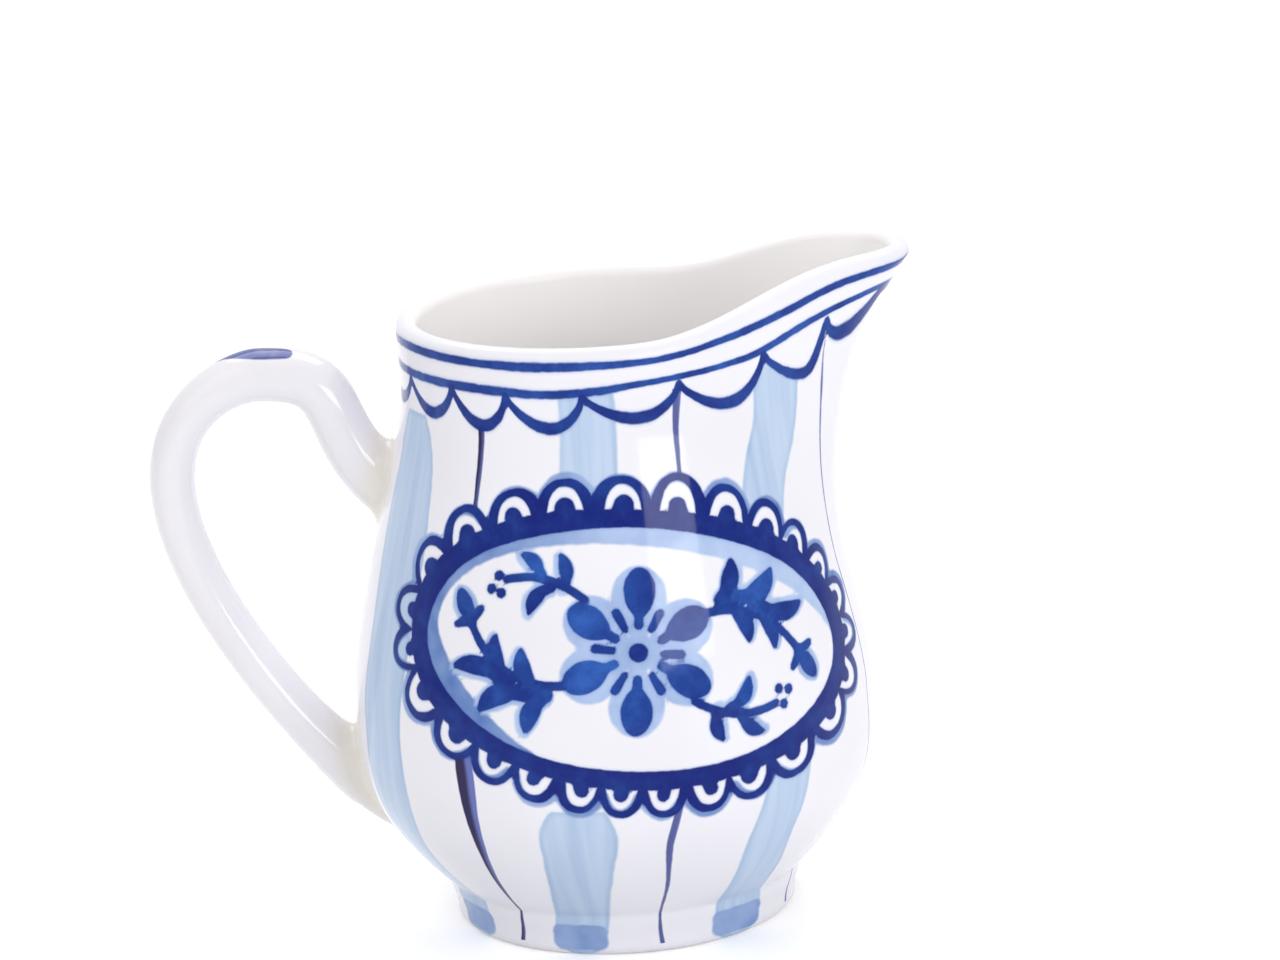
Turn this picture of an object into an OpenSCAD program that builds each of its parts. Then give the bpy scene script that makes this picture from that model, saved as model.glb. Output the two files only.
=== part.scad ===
// Ceramic milk jug: a footed pot with a pulled spout, and a loop handle joined on with slip.
// The jug stands on z = 0 with its axis on Z, the spout points to +X and the handle to -X.

/* [Body] */
// Height of the rim's top on the handle's side
rim_height = 97; // [85:0.5:115]
// Outer radius of the foot
foot_radius = 26.9; // [24:0.1:30]
// Rounding of the foot's outer edge
foot_rounding = 1.5; // [0.8:0.1:2.2]
// Radius of the notch between the foot and the bowl
waist_radius = 28; // [25:0.1:31]
// Height of the notch above the table
waist_height = 6.9; // [5:0.1:9]
// Largest radius of the belly
belly_radius = 41; // [37:0.1:48]
// Height of the belly's widest line, as a share of the rim's height
belly_height_share = 0.384; // [0.34:0.002:0.44]
// Radius of the neck at its narrowest
neck_radius = 30.5; // [28:0.1:35]
// Height of the neck's narrowest line, as a share of the rim's height
neck_height_share = 0.888; // [0.84:0.002:0.92]
// Outer radius of the rim
rim_radius = 30.7; // [28:0.1:35]
// Thickness of the wall
wall = 3.6; // [2.8:0.1:4.4]
// Height of the inside floor above the table
floor_height = 8; // [6.5:0.1:10]
// Width of the ring that the jug stands on
stand_width = 3.6; // [2.4:0.1:5]
// Depth of the hollow under the foot
hollow_depth = 3.4; // [2:0.1:4]

/* [Spout] */
// How far the spout's tip stands out beyond the rim
spout_reach = 18.5; // [12:0.5:24]
// Radius of the spout's tip, seen from above
tip_radius = 13.4; // [10:0.2:17]
// How far the spout's tip rises above the rim
spout_rise = 8; // [4:0.5:12]
// Height where the spout leaves the body, as a share of the rim's height
spout_start_share = 0.58; // [0.5:0.01:0.68]
// Place where the rim starts to rise, as a share of the rim's radius in front of the axis
rise_start_share = 0.17; // [0:0.01:0.3]
// Power of the curve that pulls the wall out into the spout
pull_power = 1.85; // [1.4:0.05:2.4]
// Power of the curve that lifts the wall towards the spout's tip
rise_power = 1.4; // [1.1:0.05:2]

/* [Handle] */
// How far the handle's outer edge stands out from the belly
handle_reach = 29.7; // [26:0.1:36]
// Thickness of the handle at its outer side
handle_thickness = 7.2; // [6:0.1:8.4]
// Width of the handle across
handle_width = 9.6; // [8:0.1:12]
// Added thickness at the upper and the lower end, as shares of the thickness
end_swell_shares = [0.2, 0.15]; // [0:0.01:0.3]
// Added thickness of the flares where the handle meets the wall, above and below, as shares
root_flare_shares = [0.22, 0.36]; // [0:0.01:0.4]
// Height of the upper root, as a share of the rim's height
upper_root_share = 0.728; // [0.7:0.002:0.75]
// Height of the lower root, as a share of the rim's height
lower_root_share = 0.24; // [0.23:0.002:0.28]
// Height of the handle's top, measured at its middle line, as a share of the rim's height
handle_top_share = 0.913; // [0.88:0.002:0.94]
// Height of the handle's outermost point, as a share of the rim's height
handle_side_share = 0.738; // [0.7:0.002:0.77]
// Place of the handle's top between its upper root and its outermost point, as a share
handle_peak_share = 0.556; // [0.5:0.002:0.6]
// Slopes at which the handle leaves the wall, at its upper and its lower root, in degrees
root_slopes = [41.5, 30]; // [26:0.5:45]

/* [Slip joints] */
// Thickness of the slip between the handle's ends and the wall
slip_thickness = 0.4; // [0.3:0.05:0.8]
// Radius of the fillet that the slip makes round the handle's ends
slip_fillet = 1.7; // [1.2:0.1:2.4]
// Height of the slip's edge where it ends on the wall and on the handle
slip_edge = 0.25; // [0.2:0.05:0.4]

/* [Curves] */
// Pulls of the foot's wall, up from the edge and down from the notch, as shares of its height
foot_pull_shares = [0.5, 0.35]; // [0.2:0.05:0.6]
// Pulls of the bowl: outwards and upwards from the notch, and down from the belly, as shares
bowl_pull_shares = [1.12, 0.46, 0.3]; // [0.25:0.01:1.15]
// Pulls of the shoulder, up from the belly and down from the neck, as shares of its height
shoulder_pull_shares = [0.25, 0.15]; // [0.1:0.01:0.45]
// Pulls of the lip's flare, up from the neck and down from the rim, as shares of its height
lip_pull_shares = [0.4, 0.3]; // [0.2:0.05:0.45]
// Pulls of the inside floor, out from its middle and down from the belly, as shares
floor_pull_shares = [0.78, 0.62]; // [0.5:0.01:0.8]
// Pulls of the handle's rise, at its upper root and before its top, as shares
rise_pull_shares = [0.53, 0.8]; // [0.4:0.01:0.9]
// Pulls of the handle's bend, after its top and above its outermost point, as shares
bend_pull_shares = [0.29, 0.74]; // [0.25:0.01:0.8]
// Pulls of the handle's fall, below its outermost point and at its lower root, as shares
fall_pull_shares = [0.38, 0.13]; // [0.1:0.01:0.4]

/* [Hidden] */
$fn = 96;

// Facets of the pot: columns round it, and rows along each stretch of its outline
columns = 80;
front_density_share = 0.4;
arc_rows = 3;
foot_rows = 3;
bowl_rows = 12;
shoulder_rows = 14;
flare_rows = 3;
lip_rows = 6;
inside_shoulder_rows = 9;
floor_rows = 10;
// Columns of the pot's outline on each side of the handle that its ends are cut along
cut_columns = 6;
// Facets of the handle: points round its section, and rows along each of its stretches
section_points = 24;
root_rows = 4;
rise_rows = 16;
bend_rows = 12;
fall_rows = 18;
fillet_rows = 5;
// Rows of the handle that the slip is cut along
grip_rows = 16;
// Where along the handle its swellings start and how far they run, as shares of its rows
upper_swell_shares = [0.55, 0.25];
lower_swell_shares = [0.7, 0.23];
// Rows of the handle that its flares at the wall take
flare_ends = [7, 8];

lip_radius = wall / 2;
edge_height = rim_height - lip_radius;
belly_height = belly_height_share * rim_height;
neck_height = neck_height_share * rim_height;
spout_start = spout_start_share * rim_height;
rise_start = rise_start_share * rim_radius;
tip_middle = rim_radius + spout_reach - tip_radius;
tip_x = rim_radius + spout_reach;
stand_outer = foot_radius - foot_rounding;
stand_inner = stand_outer - stand_width;
root_depth = wall + handle_thickness;
colour_glaze = [0.95, 0.95, 0.98];
colour_slip = [0.91, 0.88, 0.82];

function clamp(value) = min(1, max(0, value));
function ease(t) = t * t * t * (t * (6 * t - 15) + 10);
function unit(v) = v / norm(v);
function mix(a, b, share) = a + (b - a) * share;

// Points of a cubic curve with its two ends and two pulls
function curve(p0, p1, p2, p3, rows) = [
    for (i = [1:rows])
        let (t = i / rows, s = 1 - t)
        s * s * s * p0 + 3 * s * s * t * p1 + 3 * s * t * t * p2 + t * t * t * p3
];

// Outline of the pot's outside as points [radius, height], from the stand's edge to the rim's outer edge
foot_arc = [
    for (i = [0:arc_rows])
        let (a = 90 * i / arc_rows - 90)
        [stand_outer + foot_rounding * cos(a), foot_rounding * (1 + sin(a))]
];
foot_wall_height = waist_height - foot_rounding;
foot_wall = curve(
    [foot_radius, foot_rounding],
    [foot_radius, foot_rounding + foot_pull_shares[0] * foot_wall_height],
    [waist_radius, waist_height - foot_pull_shares[1] * foot_wall_height],
    [waist_radius, waist_height],
    foot_rows
);
bowl_height = belly_height - waist_height;
bowl = curve(
    [waist_radius, waist_height],
    [mix(waist_radius, belly_radius, bowl_pull_shares[0]), waist_height + bowl_pull_shares[1] * bowl_height],
    [belly_radius, belly_height - bowl_pull_shares[2] * bowl_height],
    [belly_radius, belly_height],
    bowl_rows
);
function shoulder(inset, rows) = let (rise = neck_height - belly_height) curve(
    [belly_radius - inset, belly_height],
    [belly_radius - inset, belly_height + shoulder_pull_shares[0] * rise],
    [neck_radius - inset, neck_height - shoulder_pull_shares[1] * rise],
    [neck_radius - inset, neck_height],
    rows
);
function flare(inset, rows) = let (rise = edge_height - neck_height) curve(
    [neck_radius - inset, neck_height],
    [neck_radius - inset, neck_height + lip_pull_shares[0] * rise],
    [rim_radius - inset, edge_height - lip_pull_shares[1] * rise],
    [rim_radius - inset, edge_height],
    rows
);
outside = concat(foot_arc, foot_wall, bowl, shoulder(0, shoulder_rows), flare(0, flare_rows));

// Outline of the pot's inside, from the edge of the floor's middle to the rim's inner edge
inside_floor = curve(
    [0, floor_height],
    [floor_pull_shares[0] * (belly_radius - wall), floor_height],
    [belly_radius - wall, mix(belly_height, floor_height, floor_pull_shares[1])],
    [belly_radius - wall, belly_height],
    floor_rows
);
inside = concat(inside_floor, shoulder(wall, inside_shoulder_rows), flare(wall, flare_rows));

// Angles of the columns, closest together at the spout
angles = [
    for (i = [0:columns - 1])
        let (t = 360 * i / columns - 180)
        t - front_density_share * sin(t) * 180 / PI
];

// Distance from the axis to a circle drawn out to the spout's tip, at an angle from the spout
function drawn_out(angle, radius, tip) =
    let (a = abs(angle))
    let (touch = acos((radius - tip) / tip_middle))
    let (end = atan2(tip * sin(touch), tip_middle + tip * cos(touch)))
    a >= touch ? radius
    : a >= end ? radius / cos(touch - a)
    : tip_middle * cos(a) + sqrt(tip * tip - pow(tip_middle * sin(a), 2));

function rise_at(angle) =
    let (x = drawn_out(angle, rim_radius, tip_radius) * cos(angle))
    spout_rise * ease(clamp((x - rise_start) / (tip_x - rise_start)));

// A point of the outline turned to an angle, pulled out and lifted towards the spout
function pulled(point, angle, inset) =
    let (share = clamp((point[1] - spout_start) / (edge_height - spout_start)))
    let (out = drawn_out(angle, rim_radius - inset, tip_radius - inset) - (rim_radius - inset))
    let (r = point[0] + out * pow(share, pull_power))
    [r * cos(angle), r * sin(angle), point[1] + rise_at(angle) * pow(share, rise_power)];

// A point of the rounded lip, half a turn from the outer to the inner edge
function on_lip(angle, turn) =
    let (outer = drawn_out(angle, rim_radius, tip_radius))
    let (inner = drawn_out(angle, rim_radius - wall, tip_radius - wall))
    let (r = (outer + inner) / 2 + (outer - inner) / 2 * cos(turn))
    [r * cos(angle), r * sin(angle), edge_height + rise_at(angle) + lip_radius * sin(turn)];

// Triangles between two neighbouring rows of a closed surface; the diagonals mirror at half way round
function band(row, n) = [
    for (i = [0:n - 1])
        let (a = row * n + i, b = row * n + (i + 1) % n)
        let (c = a + n, d = b + n)
        each 2 * i < n ? [[a, c, b], [b, c, d]] : [[a, c, d], [a, d, b]]
];

// A closed solid from rows of points, with each end closed to its middle point
module skin(rows, first_middle, last_middle) {
    n = len(rows[0]);
    last = len(rows) - 1;
    points = concat([for (row = rows) each row], [first_middle, last_middle]);
    sides = [for (k = [0:last - 1]) each band(k, n)];
    first_cap = [for (i = [0:n - 1]) [len(points) - 2, i, (i + 1) % n]];
    last_cap = [for (i = [0:n - 1]) [len(points) - 1, last * n + (i + 1) % n, last * n + i]];
    polyhedron(points, concat(sides, first_cap, last_cap));
}

// Hollow under the foot, which leaves the ring that the jug stands on
module foot_hollow() {
    rotate_extrude()
        polygon([
            [0, -hollow_depth],
            [stand_inner, -hollow_depth],
            [stand_inner, 0],
            [stand_inner - hollow_depth / 2, hollow_depth],
            [0, hollow_depth]
        ]);
}

module vessel() {
    inside_down = [for (i = [len(inside) - 1:-1:0]) inside[i]];
    rows = concat(
        [for (point = outside) [for (a = angles) pulled(point, a, 0)]],
        [for (i = [1:lip_rows - 1]) [for (a = angles) on_lip(a, 180 * i / lip_rows)]],
        [for (point = inside_down) [for (a = angles) pulled(point, a, wall)]]
    );
    color(colour_glaze)
        difference() {
            skin(rows, [0, 0, 0], [0, 0, floor_height]);
            foot_hollow();
        }
}

// The pot's outside near the handle, as a solid wedge from the axis, grown outwards by a gap
module wall_wedge(gap) {
    cut = concat(
        [for (i = [columns - cut_columns:columns - 1]) angles[i]],
        [for (i = [0:cut_columns]) angles[i]]
    );
    rows = [
        for (point = outside)
            let (r = point[0] + gap, z = point[1])
            concat([[0, 0, z]], [for (a = cut) [r * cos(a), r * sin(a), z]])
    ];
    skin(rows, [-stand_outer / 2, 0, 0], [-rim_radius / 2, 0, edge_height]);
}

// Outer radius of the pot at a height, on the handle's side
heights = [for (point = outside) [point[1], point[0]]];
function wall_at(z) = lookup(z, heights);

// Middle line of the handle in the XZ plane, from inside the wall at the upper root to inside it at the lower
upper_root = [-wall_at(upper_root_share * rim_height), upper_root_share * rim_height];
lower_root = [-wall_at(lower_root_share * rim_height), lower_root_share * rim_height];
handle_side = [
    -(belly_radius + handle_reach - handle_thickness / 2),
    handle_side_share * rim_height
];
handle_top = [
    mix(upper_root[0], handle_side[0], handle_peak_share),
    handle_top_share * rim_height
];
function away(slope) = [-cos(slope), sin(slope)];
upper_way = away(root_slopes[0]);
lower_way = away(root_slopes[1]);
handle_rise = curve(
    upper_root,
    upper_root + rise_pull_shares[0] * norm(handle_top - upper_root) * upper_way,
    handle_top + [rise_pull_shares[1] * (upper_root[0] - handle_top[0]), 0],
    handle_top,
    rise_rows
);
handle_bend = curve(
    handle_top,
    handle_top + [bend_pull_shares[0] * (handle_side[0] - handle_top[0]), 0],
    handle_side + [0, bend_pull_shares[1] * (handle_top[1] - handle_side[1])],
    handle_side,
    bend_rows
);
handle_fall = curve(
    handle_side,
    handle_side - [0, fall_pull_shares[0] * (handle_side[1] - lower_root[1])],
    lower_root + fall_pull_shares[1] * norm(handle_side - lower_root) * lower_way,
    lower_root,
    fall_rows
);
upper_end = [for (i = [root_rows:-1:0]) upper_root - upper_way * root_depth * i / root_rows];
lower_end = [for (i = [1:root_rows]) lower_root - lower_way * root_depth * i / root_rows];
middle_line = concat(upper_end, handle_rise, handle_bend, handle_fall, lower_end);
line_last = len(middle_line) - 1;

// Half thickness of the handle at a row: swollen towards both ends
function half_thickness(k) =
    let (share = k / line_last)
    let (upper = end_swell_shares[0] * ease(clamp((upper_swell_shares[0] - share) / upper_swell_shares[1])))
    let (lower = end_swell_shares[1] * pow(clamp((share - lower_swell_shares[0]) / lower_swell_shares[1]), 2))
    let (upper_flare = root_flare_shares[0] * pow(clamp(1 - (k - root_rows) / flare_ends[0]), 2))
    let (lower_flare = root_flare_shares[1] * pow(clamp(1 - (line_last - root_rows - k) / flare_ends[1]), 2))
    handle_thickness / 2 * (1 + upper + lower + upper_flare + lower_flare);

// Direction across the handle's thickness at a row, away from the inside of the loop
function across(k) =
    let (way = unit(middle_line[min(k + 1, line_last)] - middle_line[max(k - 1, 0)]))
    [way[1], 0, -way[0]];

// Direction from the middle line to a point of the section, with its two half sizes
function section_arm(k, i, thick, wide) =
    let (turn = 360 * i / section_points)
    thick * cos(turn) * across(k) + [0, wide * sin(turn), 0];

function handle_point(k, i) =
    [middle_line[k][0], 0, middle_line[k][1]] + section_arm(k, i, half_thickness(k), handle_width / 2);

function handle_row(k) = [for (i = [0:section_points - 1]) handle_point(k, i)];

module handle_loop(first, last) {
    middles = [for (k = [first, last]) [middle_line[k][0], 0, middle_line[k][1]]];
    skin([for (k = [first:last]) handle_row(k)], middles[0], middles[1]);
}

module handle() {
    color(colour_glaze)
        difference() {
            handle_loop(0, line_last);
            wall_wedge(slip_thickness);
        }
}

// How far a point stands out from the pot's wall
function stand_off(p) = norm([p[0], p[1]]) - wall_at(p[2]);

// Point where one long edge of the handle comes out of the wall to a given distance, walking by rows
function out_of_wall(i, height, k, step) =
    let (here = handle_point(k, i), next = handle_point(k + step, i))
    stand_off(next) < height ? out_of_wall(i, height, k + step, step)
    : mix(here, next, clamp((height - stand_off(here)) / (stand_off(next) - stand_off(here))));

// Direction along the wall, away from the handle, at a point of its section
function along_wall(k, i, point) =
    let (arm = section_arm(k, i, 1 / half_thickness(k), 2 / handle_width))
    let (out = unit([point[0], point[1], 0]))
    unit(arm - (arm * out) * out);

// Fillet of slip round one end of the handle: rows that climb from inside the wall up the handle
module slip_joint(end_row, step) {
    root = end_row + step * root_rows;
    turns = [for (i = [0:fillet_rows]) 90 * i / fillet_rows];
    climb = concat(
        [[slip_fillet + slip_edge, -wall / 2]],
        [for (t = turns) [slip_edge + slip_fillet * (1 - sin(t)), slip_edge + slip_fillet * (1 - cos(t))]]
    );
    rows = [
        for (c = climb) [
            for (i = [0:section_points - 1])
                let (point = out_of_wall(i, c[1], end_row, step))
                point + c[0] * along_wall(root, i, point)
        ]
    ];
    ordered = step > 0 ? rows : [for (k = [len(rows) - 1:-1:0]) rows[k]];
    middles = [for (row = [ordered[0], ordered[len(rows) - 1]]) (row[0] + row[section_points / 2]) / 2];
    grip_row = end_row + step * grip_rows;
    color(colour_slip)
        difference() {
            skin(ordered, middles[0], middles[1]);
            wall_wedge(0);
            difference() {
                handle_loop(min(end_row, grip_row), max(end_row, grip_row));
                wall_wedge(slip_thickness);
            }
        }
}

module upper_slip_joint() {
    slip_joint(0, 1);
}

module lower_slip_joint() {
    slip_joint(line_last, -1);
}

vessel();
handle();
upper_slip_joint();
lower_slip_joint();
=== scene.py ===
import math

import bpy
import numpy as np
from mathutils import Matrix, Vector


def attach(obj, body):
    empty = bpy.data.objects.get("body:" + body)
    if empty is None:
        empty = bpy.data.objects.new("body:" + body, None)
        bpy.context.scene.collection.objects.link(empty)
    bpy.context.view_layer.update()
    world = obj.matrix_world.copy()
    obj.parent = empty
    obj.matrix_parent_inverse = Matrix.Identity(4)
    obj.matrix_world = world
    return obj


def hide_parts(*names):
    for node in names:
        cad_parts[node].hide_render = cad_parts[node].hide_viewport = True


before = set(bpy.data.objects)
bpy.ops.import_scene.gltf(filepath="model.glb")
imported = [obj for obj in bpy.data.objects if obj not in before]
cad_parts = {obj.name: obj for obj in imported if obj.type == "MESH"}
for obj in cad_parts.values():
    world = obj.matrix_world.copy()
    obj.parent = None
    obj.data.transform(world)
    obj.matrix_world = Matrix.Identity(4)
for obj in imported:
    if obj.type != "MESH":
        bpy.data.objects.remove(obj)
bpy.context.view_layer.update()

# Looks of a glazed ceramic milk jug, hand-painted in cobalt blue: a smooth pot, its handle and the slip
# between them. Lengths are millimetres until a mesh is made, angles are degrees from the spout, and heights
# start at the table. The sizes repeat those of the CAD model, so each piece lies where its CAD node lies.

MM = 0.001
TINY = 1e-6
BODY = "root"

# The pot
RIM_HEIGHT = 97.0
FOOT_RADIUS = 26.9
FOOT_ROUNDING = 1.5
WAIST_RADIUS = 28.0
WAIST_HEIGHT = 6.9
BELLY_RADIUS = 41.0
BELLY_HEIGHT = 0.384 * RIM_HEIGHT
NECK_RADIUS = 30.5
NECK_HEIGHT = 0.888 * RIM_HEIGHT
RIM_RADIUS = 30.7
WALL = 3.6
FLOOR_HEIGHT = 8.0
STAND_WIDTH = 3.6
HOLLOW_DEPTH = 3.4
FOOT_PULLS = (0.5, 0.35)
BOWL_PULLS = (1.12, 0.46, 0.3)
SHOULDER_PULLS = (0.25, 0.15)
LIP_PULLS = (0.4, 0.3)
FLOOR_PULLS = (0.78, 0.62)
LIP_RADIUS = WALL / 2
EDGE_HEIGHT = RIM_HEIGHT - LIP_RADIUS
STAND_OUTER = FOOT_RADIUS - FOOT_ROUNDING
STAND_INNER = STAND_OUTER - STAND_WIDTH

# The spout
SPOUT_REACH = 18.5
TIP_RADIUS = 13.4
SPOUT_RISE = 8.0
SPOUT_START = 0.58 * RIM_HEIGHT
RISE_START = 0.17 * RIM_RADIUS
PULL_POWER = 1.85
RISE_POWER = 1.4
FLANK_LIMIT = 80.0
TIP_MIDDLE = RIM_RADIUS + SPOUT_REACH - TIP_RADIUS
TIP_X = RIM_RADIUS + SPOUT_REACH

# The handle: its middle line runs through three curves, counted in the CAD model's rows
HANDLE_REACH = 29.7
HANDLE_THICKNESS = 7.2
HANDLE_WIDTH = 9.6
UPPER_ROOT_HEIGHT = 0.728 * RIM_HEIGHT
LOWER_ROOT_HEIGHT = 0.24 * RIM_HEIGHT
HANDLE_TOP_HEIGHT = 0.913 * RIM_HEIGHT
HANDLE_SIDE_HEIGHT = 0.738 * RIM_HEIGHT
HANDLE_PEAK = 0.556
ROOT_SLOPES = (41.5, 30.0)
RISE_PULLS = (0.53, 0.8)
BEND_PULLS = (0.29, 0.74)
FALL_PULLS = (0.38, 0.13)
END_SWELLS = (0.2, 0.15)
ROOT_FLARES = (0.22, 0.36)
ROOT_ROWS, RISE_ROWS, BEND_ROWS, FALL_ROWS = 4, 16, 12, 18
ROW_LAST = 2 * ROOT_ROWS + RISE_ROWS + BEND_ROWS + FALL_ROWS
FLARE_ROWS = (7, 8)
UPPER_SWELL = (0.55, 0.25)
LOWER_SWELL = (0.7, 0.23)
ROOT_DEPTH = WALL + HANDLE_THICKNESS
SLIP_FILLET = 2.5
SLIP_SUNK = 0.3
SLIP_FEATHER = 1.2
ROOT_BULGE = (1.9, 0.9)
ROOT_BULGE_RUN = 4.0

# How fine the meshes are; the columns stand closer at the spout than at the handle
COLUMNS = 440
COLUMN_CROWDING = 0.12
PAINT_ROW = 0.62
INSIDE_ROW = 3.2
UNDERSIDE_ROW = 2.4
LIP_ROWS = 14
HANDLE_ROWS = 220
SECTION_POINTS = 64
FILLET_ROWS = 14
WALL_LINES = 1441
FOOT_ARC_POINTS = 24
FINE = np.linspace(0, 1, 160)

# The camera, fitted to the photograph's outlines
CAMERA_TURN = 1.5
CAMERA_RISE = 14.737
CAMERA_ROLL = 3.243
CAMERA_DISTANCE = 800.0
CAMERA_ASIDE = 5.753
CAMERA_AIM_HEIGHT = 68.602
FOCAL_PIXELS = 5133.2
IMAGE_WIDTH_PIXELS = 1280
SENSOR_WIDTH = 36.0


def ease(t):
    """From 0 to 1 with a smooth start and end."""
    t = np.clip(t, 0, 1)
    return t * t * t * (t * (6 * t - 15) + 10)

def curve(p0, p1, p2, p3, t):
    """Points of a cubic curve with its two ends and two pulls."""
    t = np.asarray(t, float)[..., None]
    s = 1 - t
    p0, p1, p2, p3 = (np.asarray(p, float) for p in (p0, p1, p2, p3))
    return s ** 3 * p0 + 3 * s * s * t * p1 + 3 * s * t * t * p2 + t ** 3 * p3

def run_lengths(points):
    """Length along lines of points, row by row."""
    steps = np.linalg.norm(np.diff(points, axis=0), axis=-1)
    return np.concatenate([0 * steps[:1], np.cumsum(steps, axis=0)])

def even(points, spacing):
    """The same line with its points an even distance apart."""
    length = run_lengths(points)
    count = max(2, round(length[-1] / spacing) + 1)
    wanted = np.linspace(0, length[-1], count)
    return np.stack([np.interp(wanted, length, column) for column in points.T], axis=1)

def wrapped(turn):
    """An angle from -180 to 180."""
    return (turn + 180) % 360 - 180

def upright(low, high, pulls):
    """A curve between two points (radius, height) that starts and ends straight up."""
    rise = high[1] - low[1]
    return curve(low, (low[0], low[1] + pulls[0] * rise), (high[0], high[1] - pulls[1] * rise), high, FINE)

def upper_outline(inset):
    """Shoulder and lip flare as points (radius, height), from the belly to the rim's edge."""
    belly = (BELLY_RADIUS - inset, BELLY_HEIGHT)
    neck = (NECK_RADIUS - inset, NECK_HEIGHT)
    edge = (RIM_RADIUS - inset, EDGE_HEIGHT)
    return np.vstack([upright(belly, neck, SHOULDER_PULLS), upright(neck, edge, LIP_PULLS)[1:]])

def outside_outline():
    """The pot's outside as points (radius, height), from the stand's edge to the rim's outer edge."""
    turn = np.radians(np.linspace(-90, 0, FOOT_ARC_POINTS))
    foot_arc = np.stack([STAND_OUTER + FOOT_ROUNDING * np.cos(turn),
                         FOOT_ROUNDING * (1 + np.sin(turn))], axis=1)
    waist = (WAIST_RADIUS, WAIST_HEIGHT)
    foot_wall = upright((FOOT_RADIUS, FOOT_ROUNDING), waist, FOOT_PULLS)
    rise = BELLY_HEIGHT - WAIST_HEIGHT
    bulge = BELLY_RADIUS - WAIST_RADIUS
    bowl = curve(
        waist,
        (WAIST_RADIUS + BOWL_PULLS[0] * bulge, WAIST_HEIGHT + BOWL_PULLS[1] * rise),
        (BELLY_RADIUS, BELLY_HEIGHT - BOWL_PULLS[2] * rise),
        (BELLY_RADIUS, BELLY_HEIGHT), FINE)
    return np.vstack([foot_arc, foot_wall[1:], bowl[1:], upper_outline(0)[1:]])

def inside_outline():
    """The pot's inside from the middle of the floor to the rim's inner edge."""
    reach = BELLY_RADIUS - WALL
    floor = curve(
        (0, FLOOR_HEIGHT),
        (FLOOR_PULLS[0] * reach, FLOOR_HEIGHT),
        (reach, BELLY_HEIGHT + FLOOR_PULLS[1] * (FLOOR_HEIGHT - BELLY_HEIGHT)),
        (reach, BELLY_HEIGHT), FINE)
    return np.vstack([floor, upper_outline(WALL)[1:]])


def drawn_out(turn, radius, tip):
    """Distance from the axis to a circle drawn out to the spout's tip."""
    a = np.abs(wrapped(np.asarray(turn, float)))
    touch = math.degrees(math.acos((radius - tip) / TIP_MIDDLE))
    lift = math.radians(touch)
    end = math.degrees(math.atan2(tip * math.sin(lift), TIP_MIDDLE + tip * math.cos(lift)))
    aside = TIP_MIDDLE * np.sin(np.radians(np.minimum(a, end)))
    nose = TIP_MIDDLE * np.cos(np.radians(a)) + np.sqrt(tip * tip - aside ** 2)
    flank = radius / np.cos(np.radians(np.clip(touch - a, 0, FLANK_LIMIT)))
    return np.where(a >= touch, radius, np.where(a >= end, flank, nose))


def rise_at(turn):
    x = drawn_out(turn, RIM_RADIUS, TIP_RADIUS) * np.cos(np.radians(turn))
    return SPOUT_RISE * ease((x - RISE_START) / (TIP_X - RISE_START))


def around(radius, turn, height):
    angle = np.radians(turn)
    return np.stack(np.broadcast_arrays(radius * np.cos(angle), radius * np.sin(angle), height), axis=-1)


def pulled(outline, turn, inset=0.0):
    """Outline points turned to angles, pulled out and lifted towards the spout, as rows of points."""
    radius, height = outline[:, :1], outline[:, 1:]
    turn = np.asarray(turn, float)[None, :]
    share = np.clip((height - SPOUT_START) / (EDGE_HEIGHT - SPOUT_START), 0, 1)
    out = drawn_out(turn, RIM_RADIUS - inset, TIP_RADIUS - inset) - (RIM_RADIUS - inset)
    return around(radius + out * share ** PULL_POWER, turn, height + rise_at(turn) * share ** RISE_POWER)


def lip_rows(turn):
    """The rounded lip between its outer and its inner edge, without the edges."""
    outer = drawn_out(turn, RIM_RADIUS, TIP_RADIUS)
    inner = drawn_out(turn, RIM_RADIUS - WALL, TIP_RADIUS - WALL)
    steps = np.radians(np.linspace(0, 180, LIP_ROWS + 1)[1:-1])[:, None]
    radius = (outer + inner) / 2 + (outer - inner) / 2 * np.cos(steps)
    return around(radius, turn[None, :], EDGE_HEIGHT + rise_at(turn) + LIP_RADIUS * np.sin(steps))


def underside_outline():
    """From the middle of the hollow under the foot to the outer edge of the ring that the jug stands on."""
    flat = STAND_INNER - HOLLOW_DEPTH / 2
    corners = np.array([(0, HOLLOW_DEPTH), (flat, HOLLOW_DEPTH), (STAND_INNER, 0), (STAND_OUTER, 0)], float)
    return even(corners, UNDERSIDE_ROW)


OUTSIDE = outside_outline()


def wall_at(height):
    return np.interp(height, OUTSIDE[:, 1], OUTSIDE[:, 0])


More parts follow.
